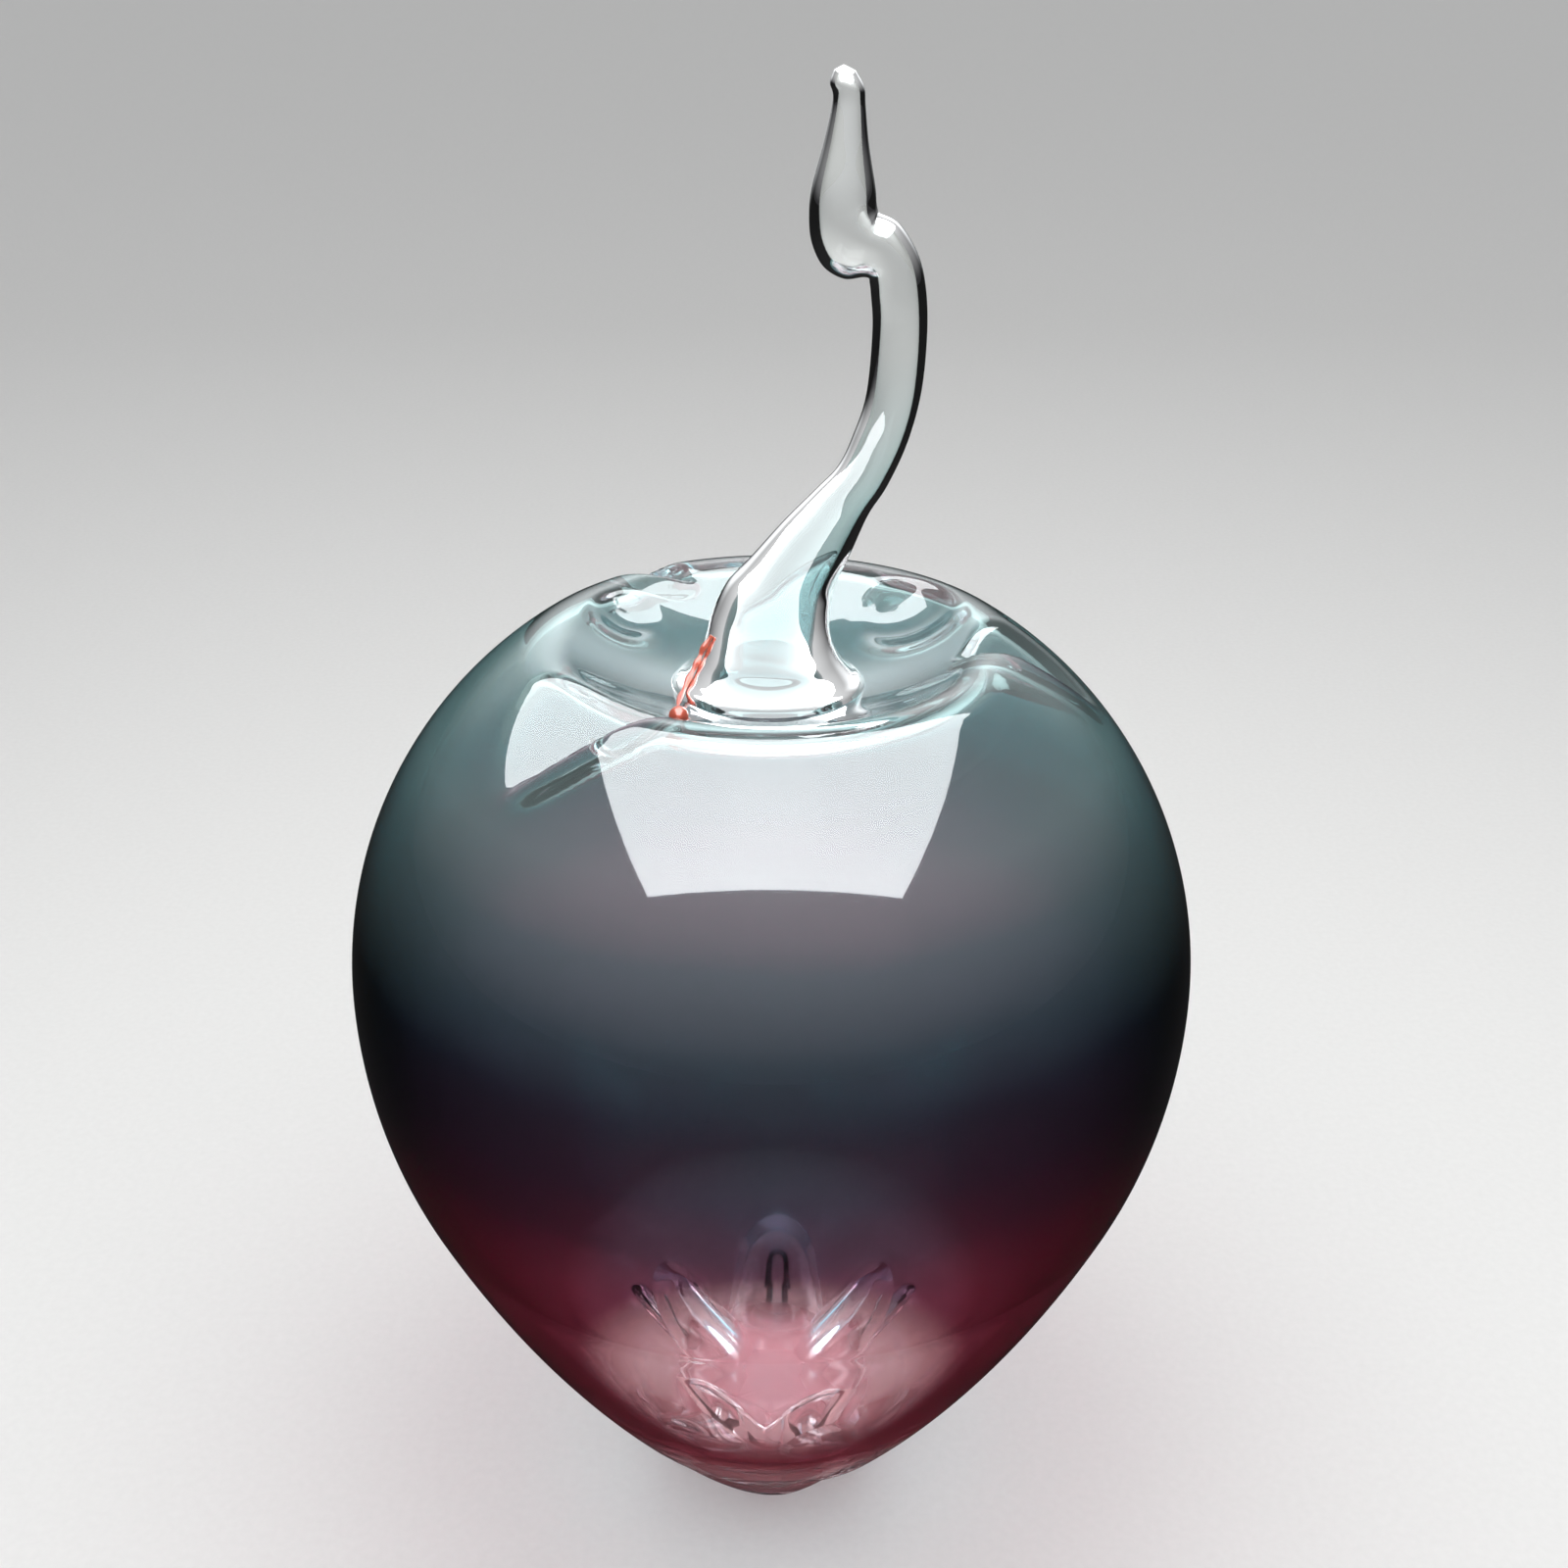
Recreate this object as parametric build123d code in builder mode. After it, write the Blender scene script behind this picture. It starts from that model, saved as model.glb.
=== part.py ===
from build123d import *
import os
from math import atan2, cos, degrees, radians, sin, sqrt

# An art glass apple: a blown bubble in two colour overlays, with a drawn clear glass stem.
# Millimetres, +Z up, front towards -Y. The origin is on the table, under the middle of the foot.

# Outside of the bubble
body_width = 115.0
body_height = 140.0
widest_height = 92.0
belly_radius = 76.0
belly_sweep = 22.5
rim_radius = 29.0
rim_round = 6.5
dimple_depth = 8.0
foot_radius = 9.0
foot_round = 5.0
foot_grind = 0.3
punt_depth = 4.0

# Wall: a teal and a plum overlay, lapped round the middle, over a clear inner bubble
overlay_thickness = 0.8
wall_thickness = 3.2
lap_low = 66.0
lap_high = 96.0

# Grooves pressed over the rim: angle from the front where each crosses the rim, angle and distance from the
# axis of its outer tip, dip of the rim, and lean of its walls on the side of smaller and of larger angles
rim_grooves = [
    (-38.0, -49.5, 41.8, 4.2, 65.0, 37.0),
    (86.0, 90.0, 42.5, 4.0, 35.0, 60.0),
    (-150.0, -140.0, 42.0, 2.8, 42.0, 42.0),
]
rim_nose = 0.8
rim_run_out = 12.0

# Round dents in the inner slope of the rim: angle, distance from the axis, depth and radius of the press
rim_dents = [(128.0, 24.0, 2.2, 12.0), (-123.0, 23.5, 1.3, 7.0)]

# Grooves pressed in the blossom end, each from a blunt tip on the flank down across the foot ring
blossom_angles = [25.0, 110.0, 178.0, 250.0, 325.0]
blossom_reach = 25.5
blossom_tip_dip = 2.6
blossom_dip = 1.2
blossom_lean = 40.0
blossom_nose = 2.0

# Size of a wedge that presses a groove: height of its walls, and its length as a share of the groove
wedge_height = 40.0
wedge_share = 1.6

# Where the outline is drawn, on a stretch of wall that no crease crosses
outline_angle = 66.0

# Stem: its plug in the neck, then the rod's lean to the right and to the back, rise over the dimple's floor,
# half width and half depth
neck_radius = 6.0
plug_lap = 2.0
stem_rod = [
    (0.0, 0.0, -1.0, 12.0, 12.0),
    (-0.1, 0.4, 2.8, 10.8, 10.4),
    (-0.2, 2.4, 5.8, 8.7, 7.4),
    (0.5, 5.6, 9.6, 7.4, 5.2),
    (2.6, 8.4, 13.4, 6.0, 4.3),
    (6.0, 11.1, 17.4, 5.0, 3.9),
    (9.4, 13.6, 21.5, 3.9, 3.4),
    (13.0, 16.2, 26.2, 3.6, 3.3),
    (15.6, 19.2, 32.0, 3.65, 3.4),
    (16.9, 21.6, 41.0, 3.6, 3.4),
    (16.1, 22.0, 47.0, 3.6, 3.5),
    (13.6, 22.0, 51.0, 3.5, 3.5),
    (9.9, 22.0, 52.3, 3.3, 3.3),
]
tip_lean = 9.2
tip_back = 22.0
tip_rise = 47.6
tip_length = 27.4
bulb_radius = 4.3
bulb_rise = 7.2
tip_waist_radius = 1.65
bead_radius = 1.95

# Trail of red glass, from a bead on the rim across the dimple and up the foot of the stem: angle from the
# front, distance from the axis and rise over the dimple's floor along it
trail_radius = 0.75
trail_bead_radius = 1.7
trail_route = [
    (-25.0, 25.6, 6.9),
    (-31.0, 21.5, 4.9),
    (-43.0, 17.0, 3.2),
    (-62.0, 13.4, 2.3),
    (-76.0, 11.4, 2.9),
    (-82.0, 10.3, 4.4),
    (-88.0, 8.9, 6.2),
]

os.makedirs("parts", exist_ok=True)


def tangent_arc(start, normal, centre, radius):
    """Centre and radius of the arc that leaves start square to normal and runs on into a circle."""
    dx = start[0] - centre[0]
    dz = start[1] - centre[1]
    along = dx * normal[0] + dz * normal[1]
    arc_radius = (dx**2 + dz**2 - radius**2) / (2 * (along - radius))
    return (start[0] - arc_radius * normal[0], start[1] - arc_radius * normal[1]), arc_radius


def dish_radius(ring_radius, ring_round, depth):
    """Radius of the round dish, centred on the axis, that runs on from the inside of a ring."""
    return ((ring_round - depth) ** 2 + ring_radius**2 - ring_round**2) / (2 * depth)


def bearing(centre, other):
    """Direction from one centre to another, in degrees from the outward direction."""
    return degrees(atan2(other[1] - centre[1], other[0] - centre[0]))


# Centres and radii of the tangent arcs in the bubble's outline, from the foot to the dimple
half_width = body_width / 2
foot_centre = (foot_radius, foot_round - foot_grind)
rim_centre = (rim_radius, body_height - rim_round)
belly_centre = (half_width - belly_radius, widest_height)
belly_normal = (cos(radians(belly_sweep)), -sin(radians(belly_sweep)))
belly_end = (
    belly_centre[0] + belly_radius * belly_normal[0],
    belly_centre[1] + belly_radius * belly_normal[1],
)
flank_centre, flank_radius = tangent_arc(belly_end, belly_normal, foot_centre, foot_round)
widest_point = (half_width, widest_height)
shoulder_centre, shoulder_radius = tangent_arc(widest_point, (1.0, 0.0), rim_centre, rim_round)
punt_radius = dish_radius(foot_radius, foot_round, punt_depth)
punt_centre = (0.0, punt_depth - foot_grind - punt_radius)
dimple_floor = body_height - dimple_depth
dimple_radius = dish_radius(rim_radius, rim_round, dimple_depth)
dimple_centre = (0.0, dimple_floor + dimple_radius)

# Directions in which those arcs meet
foot_start = bearing(foot_centre, punt_centre)
flank_start = bearing(flank_centre, foot_centre)
rim_start = bearing(shoulder_centre, rim_centre)
rim_end = bearing(rim_centre, dimple_centre)


def around(angle, reach, height):
    """The point at an angle from the front, a distance from the axis and a height."""
    return Vector(reach * sin(radians(angle)), -reach * cos(radians(angle)), height)


def shoulder_height(reach):
    """Height of the plain shoulder at a distance from the axis."""
    return shoulder_centre[1] + sqrt(shoulder_radius**2 - (reach - shoulder_centre[0]) ** 2)


def on_dimple(angle, reach):
    """The point on the plain dimple at an angle from the front and a distance from the axis."""
    return around(angle, reach, dimple_centre[1] - sqrt(dimple_radius**2 - reach**2))


def flank_height(reach):
    """Height of the plain flank at a distance from the axis."""
    return flank_centre[1] - sqrt(flank_radius**2 - (reach - flank_centre[0]) ** 2)


def pressed(tip, end, low_lean, high_lean, nose, side, start, inset):
    """A round-nosed wedge, grown by an inset, whose nose presses a groove from a tip towards an end. The side is
    1 for a groove pressed from above and -1 for one from below, and the wedge starts short of the tip."""
    along = (end - tip).normalized()
    across = along.cross(Vector(0, 0, 1)).normalized() * side
    off_wall = across.cross(along)
    with BuildPart() as tool:
        with BuildSketch(Plane(origin=tip + off_wall * nose - along * start, x_dir=across, z_dir=-along)):
            with BuildLine():
                tip_arc = CenterArc((0, 0), nose + inset, 180 + low_lean, 180 - low_lean - high_lean)
                low_rise = Vector(-sin(radians(low_lean)), cos(radians(low_lean)))
                high_rise = Vector(sin(radians(high_lean)), cos(radians(high_lean)))
                low_wall = Line(tip_arc @ 0, tip_arc @ 0 + low_rise * wedge_height)
                high_wall = Line(tip_arc @ 1, tip_arc @ 1 + high_rise * wedge_height)
                Line(low_wall @ 1, high_wall @ 1)
            make_face()
        extrude(amount=-(start + wedge_share * (end - tip).length))
    return tool.part


def dented(angle, reach, depth, radius, inset):
    """A ball, grown by an inset, that presses a dent in the dimple at an angle and a distance from the axis."""
    middle = Vector(0, 0, dimple_centre[1])
    place = on_dimple(angle, reach)
    with BuildPart() as tool:
        with Locations(place + (middle - place).normalized() * (radius - depth)):
            Sphere(radius + inset)
    return tool.part


def presses(inset):
    """The wedges and balls of every groove and dent, grown by the inset of the surface that they press."""
    tools = []
    for rim_angle, tip_angle, reach, dip, low_lean, high_lean in rim_grooves:
        tip = around(tip_angle, reach, shoulder_height(reach))
        end = around(rim_angle, rim_radius, body_height - dip)
        tools.append(pressed(tip, end, low_lean, high_lean, rim_nose, 1, rim_run_out, inset))
    for dent in rim_dents:
        tools.append(dented(*dent, inset))
    for angle in blossom_angles:
        middle = around(angle, flank_centre[0], flank_centre[1])
        surface = around(angle, blossom_reach, flank_height(blossom_reach))
        tip = surface + (middle - surface).normalized() * blossom_tip_dip
        end = around(angle, foot_radius, blossom_dip)
        start = blossom_nose + inset
        tools.append(pressed(tip, end, blossom_lean, blossom_lean, blossom_nose, -1, start, inset))
    return tools


out = around(outline_angle, 1, 0)
outline_plane = Plane(origin=(0, 0, 0), x_dir=out, z_dir=out.cross(Vector(0, 0, 1)))


def bubble(inset):
    """The creased bubble as a full solid, with its whole surface moved inward by the inset."""
    with BuildPart() as solid:
        with BuildSketch(outline_plane):
            with BuildLine():
                punt = CenterArc(punt_centre, punt_radius + inset, 90, foot_start + 90)
                CenterArc(foot_centre, foot_round - inset, foot_start, flank_start - foot_start)
                CenterArc(flank_centre, flank_radius - inset, flank_start, -belly_sweep - flank_start)
                CenterArc(belly_centre, belly_radius - inset, -belly_sweep, belly_sweep)
                CenterArc(shoulder_centre, shoulder_radius - inset, 0, rim_start)
                CenterArc(rim_centre, rim_round - inset, rim_start, rim_end - rim_start)
                dimple = CenterArc(dimple_centre, dimple_radius + inset, rim_end - 180, 90 - rim_end)
                Line(dimple @ 1, punt @ 0)
            make_face()
        revolve(axis=Axis.Z)
        for tool in presses(inset):
            add(tool, mode=Mode.SUBTRACT)
        split(bisect_by=Plane.XY, keep=Keep.TOP)
    return solid.part


outer_bubble = bubble(0)
lapped_bubble = bubble(overlay_thickness)
cored_bubble = bubble(2 * overlay_thickness)
air_bubble = bubble(wall_thickness)
neck_top = Plane.XY.offset(body_height)
neck_length = dimple_depth + 2 * wall_thickness
downward = (Align.CENTER, Align.CENTER, Align.MAX)

# Teal overlay: the outer layer of the upper body, down over the plum one
with BuildPart() as teal_overlay:
    add(outer_bubble)
    add(lapped_bubble, mode=Mode.SUBTRACT)
    split(bisect_by=Plane.XY.offset(lap_low), keep=Keep.TOP)
    with Locations(neck_top):
        Cylinder(neck_radius, neck_length, align=downward, mode=Mode.SUBTRACT)
teal_overlay.part.label = "teal_overlay"
export_step(teal_overlay.part, "parts/teal_overlay.step")

# Plum overlay: the lower body, with a thin lip up inside the teal one
with BuildPart() as plum_overlay:
    add(outer_bubble)
    add(cored_bubble, mode=Mode.SUBTRACT)
    split(bisect_by=Plane.XY.offset(lap_high), keep=Keep.BOTTOM)
    add(teal_overlay.part, mode=Mode.SUBTRACT)
plum_overlay.part.label = "plum_overlay"
export_step(plum_overlay.part, "parts/plum_overlay.step")

# Clear bubble: the inner gather that both overlays lie on
with BuildPart() as clear_bubble:
    add(lapped_bubble)
    add(air_bubble, mode=Mode.SUBTRACT)
    add(plum_overlay.part, mode=Mode.SUBTRACT)
    with Locations(neck_top):
        Cylinder(neck_radius, neck_length, align=downward, mode=Mode.SUBTRACT)
clear_bubble.part.label = "clear_bubble"
export_step(clear_bubble.part, "parts/clear_bubble.step")


def rod_plane(index):
    """Plane square to the stem's rod at one of its sections, with its first direction towards the back."""
    lean, back, rise = stem_rod[index][:3]
    before = stem_rod[max(index - 1, 0)]
    after = stem_rod[min(index + 1, len(stem_rod) - 1)]
    along = Vector(after[0] - before[0], after[1] - before[1], after[2] - before[2])
    return Plane(origin=(lean, back, dimple_floor + rise), x_dir=(0, 1, 0), z_dir=along)


tip_start = (tip_lean, tip_back, dimple_floor + tip_rise)
waist_rise = tip_length - bead_radius - sqrt(bead_radius**2 - tip_waist_radius**2)

# Stem: a flared foot on the dimple, a leaning rod and a curl drawn up to a beaded point
with BuildPart() as stem:
    for index, section in enumerate(stem_rod):
        with BuildSketch(rod_plane(index)):
            Ellipse(section[4], section[3])
    loft()
    with BuildSketch(Plane(origin=tip_start, x_dir=(1, 0, 0), z_dir=(0, -1, 0))):
        with BuildLine():
            drop = Spline(
                (0, 0),
                (bulb_radius, bulb_rise),
                (tip_waist_radius, waist_rise),
                tangents=((1, 0), (0, 1)),
            )
            bead = ThreePointArc(drop @ 1, (bead_radius, tip_length - bead_radius), (0, tip_length))
            Line(bead @ 1, drop @ 0)
        make_face()
    revolve(axis=Axis(tip_start, (0, 0, 1)))
    add(outer_bubble, mode=Mode.SUBTRACT)
    with Locations((0, 0, dimple_floor + plug_lap)):
        Cylinder(neck_radius, wall_thickness + plug_lap, align=downward)
stem.part.label = "stem"
export_step(stem.part, "parts/stem.step")

# Red trail: a thread of glass laid on the dimple and the stem's foot, with a bead at its rim end
with BuildPart() as red_trail:
    trail_points = [around(angle, reach, dimple_floor + rise) for angle, reach, rise in trail_route]
    with BuildLine():
        path = Spline(*trail_points)
    with BuildSketch(Plane(origin=path @ 0, z_dir=path % 0)):
        Circle(trail_radius)
    sweep(path=path)
    with Locations(trail_points[0]):
        Sphere(trail_bead_radius)
    add(outer_bubble, mode=Mode.SUBTRACT)
    add(stem.part, mode=Mode.SUBTRACT)
red_trail.part.label = "red_trail"
export_step(red_trail.part, "parts/red_trail.step")
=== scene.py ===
from math import asin, atan2, ceil, cos, degrees, pi, radians, sin, sqrt
from typing import NamedTuple

import bmesh
import bpy
import numpy as np
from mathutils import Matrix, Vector


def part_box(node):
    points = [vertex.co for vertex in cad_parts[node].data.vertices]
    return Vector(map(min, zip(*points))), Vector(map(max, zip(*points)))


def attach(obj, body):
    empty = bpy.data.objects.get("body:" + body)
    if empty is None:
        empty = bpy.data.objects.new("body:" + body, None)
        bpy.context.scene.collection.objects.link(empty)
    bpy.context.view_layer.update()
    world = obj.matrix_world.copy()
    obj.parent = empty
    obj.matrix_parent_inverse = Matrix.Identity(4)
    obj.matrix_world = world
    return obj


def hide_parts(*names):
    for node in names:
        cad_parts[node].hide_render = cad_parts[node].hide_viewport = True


# An art glass apple: clear bubble, teal and plum overlays, drawn stem and red trail.
# Sizes are in millimetres in the part's frame, and MM turns them into Blender's metres.
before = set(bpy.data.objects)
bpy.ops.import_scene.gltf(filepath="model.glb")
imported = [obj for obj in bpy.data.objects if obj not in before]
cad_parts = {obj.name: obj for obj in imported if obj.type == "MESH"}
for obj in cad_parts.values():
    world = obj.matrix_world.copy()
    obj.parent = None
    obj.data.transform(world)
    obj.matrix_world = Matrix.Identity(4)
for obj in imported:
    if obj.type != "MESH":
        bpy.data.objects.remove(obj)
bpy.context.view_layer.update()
MM = 0.001

# Outside of the bubble
teal_low, teal_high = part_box("teal_overlay")
body_width = round((teal_high.x - teal_low.x) / MM, 1)
body_height = round(teal_high.z / MM, 1)
lap_low = round(teal_low.z / MM, 1)
lap_high = round(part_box("plum_overlay")[1].z / MM, 1)
widest_height = 92.0
belly_radius = 76.0
belly_sweep = 22.5
rim_radius = 29.0
rim_round = 6.5
dimple_depth = 8.0
foot_radius = 9.0
foot_round = 5.0
foot_grind = 0.3
punt_depth = 4.0

# Wall layers, the gap that keeps two fused faces apart, and the extra glass that sags into the base
overlay_thickness = 0.8
wall_thickness = 3.2
seam_gap = 0.02
base_extra = 7.0
base_extra_height = 30.0

# Grooves pressed over the rim: angle from the front where each crosses the rim, angle and reach of its
# outer tip, dip of the rim, and lean of its walls on the side of smaller and of larger angles
rim_grooves = [
    (-38.0, -49.5, 41.8, 4.2, 65.0, 37.0),
    (86.0, 90.0, 42.5, 4.0, 35.0, 60.0),
    (-150.0, -140.0, 42.0, 2.8, 42.0, 42.0),
]
rim_nose = 0.8

# Round dents in the inner slope of the rim: angle, distance from the axis, depth and radius of the press
rim_dents = [(128.0, 24.0, 2.2, 12.0), (-123.0, 23.5, 1.3, 7.0)]

# Grooves pressed in the blossom end, from the flank down across the foot ring
blossom_angles = [25.0, 110.0, 178.0, 250.0, 325.0]
blossom_reach = 25.5
blossom_tip_dip = 2.6
blossom_dip = 1.2
blossom_lean = 40.0
blossom_nose = 2.0

# How softly a crease runs into the wall, how far round a press and how squarely to it the wall is worked,
# and the steps in which the wall gives way
crease_softness = 0.8
press_margin = 6.0
press_facing = 0.25
press_steps = 60

# Mesh fineness: columns round the axis, row spacing on broad and on tight curves, and least rows on an arc
columns = 360
broad_spacing = 1.2
tight_spacing = 0.5
least_rows = 2

# Stem, from the dimple to the bead: left and right edge, across and up, reach to the front and to the
# back, and lean to the back
neck_radius = 6.0
stem_foot_radius = 11.4
stem_rows = [
    (-13.0, 133.6, 12.2, 133.5, stem_foot_radius, stem_foot_radius, 0.0),
    (-12.4, 134.4, 11.7, 134.2, 10.7, 11.1, 0.0),
    (-11.2, 135.1, 10.7, 134.8, 9.8, 10.5, 0.3),
    (-10.1, 136.3, 9.6, 135.8, 8.6, 9.4, 0.8),
    (-9.2, 137.6, 8.7, 136.9, 8.4, 8.0, 1.8),
    (-8.5, 139.3, 8.0, 138.3, 7.7, 6.6, 3.2),
    (-7.6, 141.6, 7.7, 140.0, 6.9, 5.4, 5.0),
    (-5.8, 144.7, 7.9, 142.0, 6.2, 4.6, 7.0),
    (-3.0, 147.2, 8.4, 143.9, 5.5, 4.2, 8.6),
    (1.6, 151.6, 10.5, 147.3, 4.6, 3.8, 11.2),
    (5.8, 155.1, 12.9, 151.9, 3.4, 3.4, 13.6),
    (8.8, 157.8, 15.4, 155.3, 3.2, 3.2, 15.3),
    (10.8, 161.3, 18.1, 160.6, 3.3, 3.3, 17.6),
    (12.6, 166.2, 19.9, 166.8, 3.4, 3.4, 20.2),
    (13.3, 174.3, 20.5, 174.3, 3.4, 3.4, 21.8),
    (13.0, 179.0, 20.1, 180.1, 3.4, 3.4, 22.0),
    (12.8, 180.5, 18.9, 184.3, 3.4, 3.4, 22.0),
    (12.7, 181.0, 16.5, 187.9, 3.6, 3.6, 22.0),
    (11.9, 181.2, 14.0, 189.2, 3.8, 3.8, 22.0),
    (9.4, 181.0, 13.7, 189.4, 4.1, 4.1, 22.0),
    (6.8, 182.5, 13.7, 189.6, 4.3, 4.3, 22.0),
    (5.3, 185.4, 13.6, 190.0, 4.3, 4.3, 22.0),
    (4.9, 188.6, 13.5, 190.6, 4.2, 4.2, 22.0),
    (5.2, 192.3, 13.3, 192.6, 3.8, 3.8, 22.0),
    (6.8, 198.2, 12.4, 197.7, 2.7, 2.7, 22.0),
    (7.8, 203.1, 11.9, 202.4, 2.0, 2.0, 22.0),
    (7.4, 205.1, 11.7, 204.6, 2.1, 2.1, 22.0),
    (7.9, 206.6, 10.6, 206.5, 1.3, 1.3, 22.0),
]
stem_tip = (9.1, 22.0, 207.2)
stem_sides = 64
stem_substeps = 6
stem_foot_steps = 5

# Red trail, from its knot on the rim across the dimple and up the foot of the stem: angle from the
# front, distance from the axis and height
trail_route = [
    (-25.0, 25.6, 138.9),
    (-31.0, 21.5, 136.9),
    (-43.0, 17.0, 135.2),
    (-58.0, 13.6, 134.3),
    (-68.0, 11.7, 135.0),
    (-75.0, 10.5, 136.0),
    (-81.0, 9.5, 137.1),
    (-86.0, 8.8, 138.3),
    (-91.0, 7.6, 139.9),
]
trail_radius = 0.34
trail_sides = 20
trail_substeps = 16

# Unevenness of the trail: share by which its thread swells and thins, radians of those waves along it,
# share of its radius at the start, and share of its radius by which it stands off the glass
trail_wave = 0.25
trail_wave_radians = 37
trail_start_share = 0.5
trail_lift = 0.4

# Lumps of the trail's knot: place along it, width and share of the knot's radius
trail_knot_radius = 0.78
trail_lumps = [(0.03, 0.018, 1.0), (0.075, 0.016, 0.75), (0.115, 0.014, 0.55)]

# Camera fitted to the outline, in millimetres, degrees and pixels
camera_place = (1.7, -234.5, 237.1)
camera_pitch = 26.81
focal_pixels = 2000.0
image_pixels = 1600.0
sensor_width = 36.0


def tangent_arc(start, normal, centre, radius):
    """Centre and radius of the arc that leaves start square to normal and runs on into a circle."""
    across = start[0] - centre[0]
    up = start[1] - centre[1]
    along = across * normal[0] + up * normal[1]
    arc_radius = (across**2 + up**2 - radius**2) / (2 * (along - radius))
    return (start[0] - arc_radius * normal[0], start[1] - arc_radius * normal[1]), arc_radius


def dish_radius(ring_radius, ring_round, depth):
    """Radius of the round dish, centred on the axis, that runs on from the inside of a ring."""
    return ((ring_round - depth) ** 2 + ring_radius**2 - ring_round**2) / (2 * depth)


def bearing(centre, other):
    """Direction from one centre to another, in degrees from the outward direction."""
    return degrees(atan2(other[1] - centre[1], other[0] - centre[0]))


# Centres and radii of the tangent arcs in the outline, from the foot to the dimple
half_width = body_width / 2
foot_centre = (foot_radius, foot_round - foot_grind)
rim_centre = (rim_radius, body_height - rim_round)
belly_centre = (half_width - belly_radius, widest_height)
belly_normal = (cos(radians(belly_sweep)), -sin(radians(belly_sweep)))
belly_end = (
    belly_centre[0] + belly_radius * belly_normal[0],
    belly_centre[1] + belly_radius * belly_normal[1],
)
flank_centre, flank_radius = tangent_arc(belly_end, belly_normal, foot_centre, foot_round)
widest_point = (half_width, widest_height)
shoulder_centre, shoulder_radius = tangent_arc(widest_point, (1.0, 0.0), rim_centre, rim_round)
punt_radius = dish_radius(foot_radius, foot_round, punt_depth)
punt_centre = (0.0, punt_depth - foot_grind - punt_radius)
dimple_floor = body_height - dimple_depth
dimple_radius = dish_radius(rim_radius, rim_round, dimple_depth)
dimple_centre = (0.0, dimple_floor + dimple_radius)

# Directions in which those arcs meet, or in which the layers end on them
foot_start = bearing(foot_centre, punt_centre)
flank_start = bearing(flank_centre, foot_centre)
rim_start = bearing(shoulder_centre, rim_centre)
rim_end = bearing(rim_centre, dimple_centre)
lap_low_angle = degrees(asin((lap_low - widest_height) / belly_radius))
lap_high_angle = degrees(asin((lap_high - widest_height) / shoulder_radius))
stem_foot_angle = degrees(asin(stem_foot_radius / dimple_radius)) - 90
neck_angle = degrees(asin(neck_radius / dimple_radius)) - 90


def dimple_height(reach):
    """Height of the plain dimple at a distance from the axis."""
    return dimple_centre[1] - np.sqrt(dimple_radius**2 - reach**2)


def around(angle, reach, height):
    """The point at an angle from the front, a distance from the axis and a height."""
    return np.array([reach * sin(radians(angle)), -reach * cos(radians(angle)), height])


# Arcs of the outline: the mark for its last row, centre, radius, start and end direction, side of the arc
# that faces out, and row spacing
outline_arcs = [
    ("punt", punt_centre, punt_radius, 90, foot_start + 180, -1, broad_spacing),
    ("foot", foot_centre, foot_round, foot_start, flank_start, 1, tight_spacing),
    ("flank", flank_centre, flank_radius, flank_start, -belly_sweep, 1, broad_spacing),
    ("lap_low", belly_centre, belly_radius, -belly_sweep, lap_low_angle, 1, tight_spacing),
    ("belly", belly_centre, belly_radius, lap_low_angle, 0, 1, broad_spacing),
    ("lap_high", shoulder_centre, shoulder_radius, 0, lap_high_angle, 1, broad_spacing),
    ("shoulder", shoulder_centre, shoulder_radius, lap_high_angle, rim_start, 1, broad_spacing),
    ("rim", rim_centre, rim_round, rim_start, rim_end, 1, tight_spacing),
    ("stem_foot", dimple_centre, dimple_radius, rim_end - 180, stem_foot_angle, -1, tight_spacing),
    ("neck", dimple_centre, dimple_radius, stem_foot_angle, neck_angle, -1, broad_spacing),
]


def outline_rows():
    """Points and outward normals of the outline, from the foot's middle to the neck, as distance from the
    axis and height, and the marked rows."""
    points = []
    normals = []
    marks = {"middle": 0}
    for name, centre, radius, start, end, side, spacing in outline_arcs:
        steps = max(least_rows, ceil(abs(radians(end - start)) * radius / spacing))
        angles = np.radians(np.linspace(start, end, steps + 1))
        if points:
            angles = angles[1:]
        for angle in angles:
            points.append((centre[0] + radius * cos(angle), centre[1] + radius * sin(angle)))
            normals.append((side * cos(angle), side * sin(angle)))
        marks[name] = len(points) - 1
    return np.array(points), np.array(normals), marks


row_points, row_normals, marks = outline_rows()


class Wedge(NamedTuple):
    """A round-nosed wedge that presses a groove: the start of its nose line, the directions along it,
    across it and out of the wall, the leans of its two sides, its nose radius, and whether it ends at the
    start."""

    start: np.ndarray
    along: np.ndarray
    across: np.ndarray
    off_wall: np.ndarray
    low_lean: float
    high_lean: float
    nose: float
    blunt: bool

    def distance(self, points, inset):
        """Distance of points from the wedge grown by an inset, negative inside it."""
        offset = points - self.start
        sideways = offset @ self.across
        outward = offset @ self.off_wall
        off_low = -sideways * cos(self.low_lean) - outward * sin(self.low_lean)
        off_high = sideways * cos(self.high_lean) - outward * sin(self.high_lean)
        behind_low = outward * cos(self.low_lean) - sideways * sin(self.low_lean) < 0
        behind_high = outward * cos(self.high_lean) + sideways * sin(self.high_lean) < 0
        at_nose = np.where(sideways < 0, behind_low, behind_high)
        off = np.where(at_nose, np.hypot(sideways, outward), np.maximum(off_low, off_high))
        if self.blunt:
            past = -(offset @ self.along)
            outside = np.hypot(np.maximum(off, 0), np.maximum(past, 0))
            off = outside + np.minimum(np.maximum(off, past), 0)
        return off - self.nose - inset


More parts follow.
